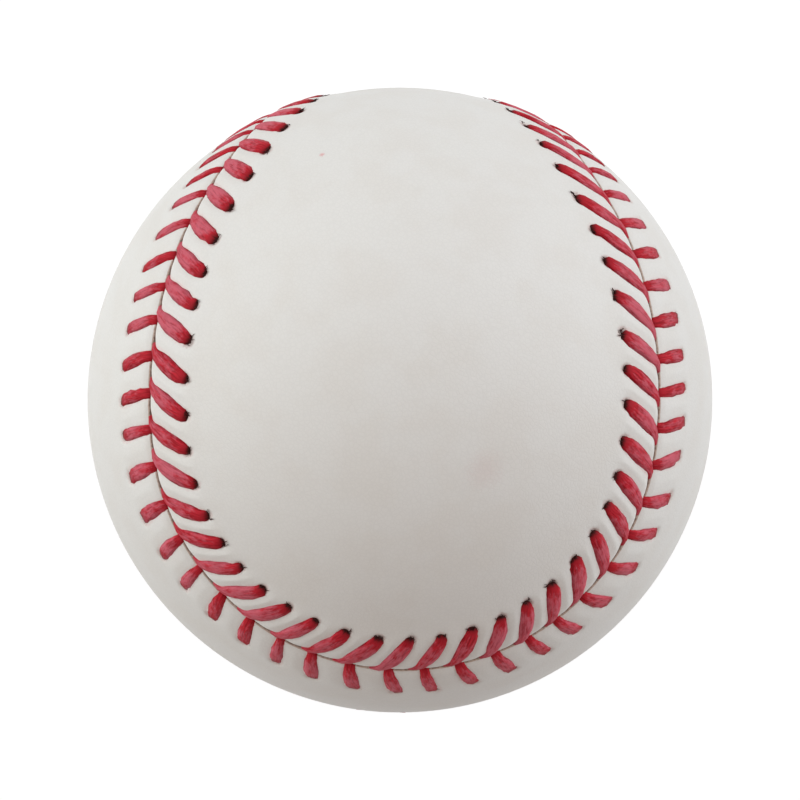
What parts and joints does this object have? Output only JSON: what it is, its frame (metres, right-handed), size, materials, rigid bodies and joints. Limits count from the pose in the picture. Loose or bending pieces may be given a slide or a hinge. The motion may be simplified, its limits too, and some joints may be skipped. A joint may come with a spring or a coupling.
{
  "type": "baseball",
  "caption": "Round leather ball with two figure-eight panels, a raised seam of red V stitches, and wool windings over a cushioned cork centre.",
  "frame": {"origin": "centre of the ball", "axes": "+Z out through a lobe of the first cover panel, +Y out through that panel's waist, +X to the right when that lobe is seen with the waist beyond it, so the second panel's lobes lie on +X and -X and its waist on -Y"},
  "size_m": [0.0744, 0.0744, 0.0744],
  "materials": {
    "cork": "matte",
    "black_rubber": "matte",
    "red_rubber": "matte",
    "grey_wool": "matte",
    "white_wool": "matte",
    "white_cotton": "matte",
    "latex": "satin",
    "leather": "satin",
    "red_thread": "waxed"
  },
  "bodies": {
    "root": {"cork_core": "cork", "black_rubber_shell_upper": "black_rubber", "black_rubber_shell_lower": "black_rubber", "red_rubber_washer": "red_rubber", "red_rubber_jacket": "red_rubber", "first_grey_wool_winding": "grey_wool", "white_wool_winding": "white_wool", "second_grey_wool_winding": "grey_wool", "white_cotton_winding": "white_cotton", "latex_adhesive_coat": "latex", "leather_panel_first": "leather", "leather_panel_second": "leather", "stitch_thread_first": "red_thread", "stitch_thread_second": "red_thread"}
  },
  "joints": []
}
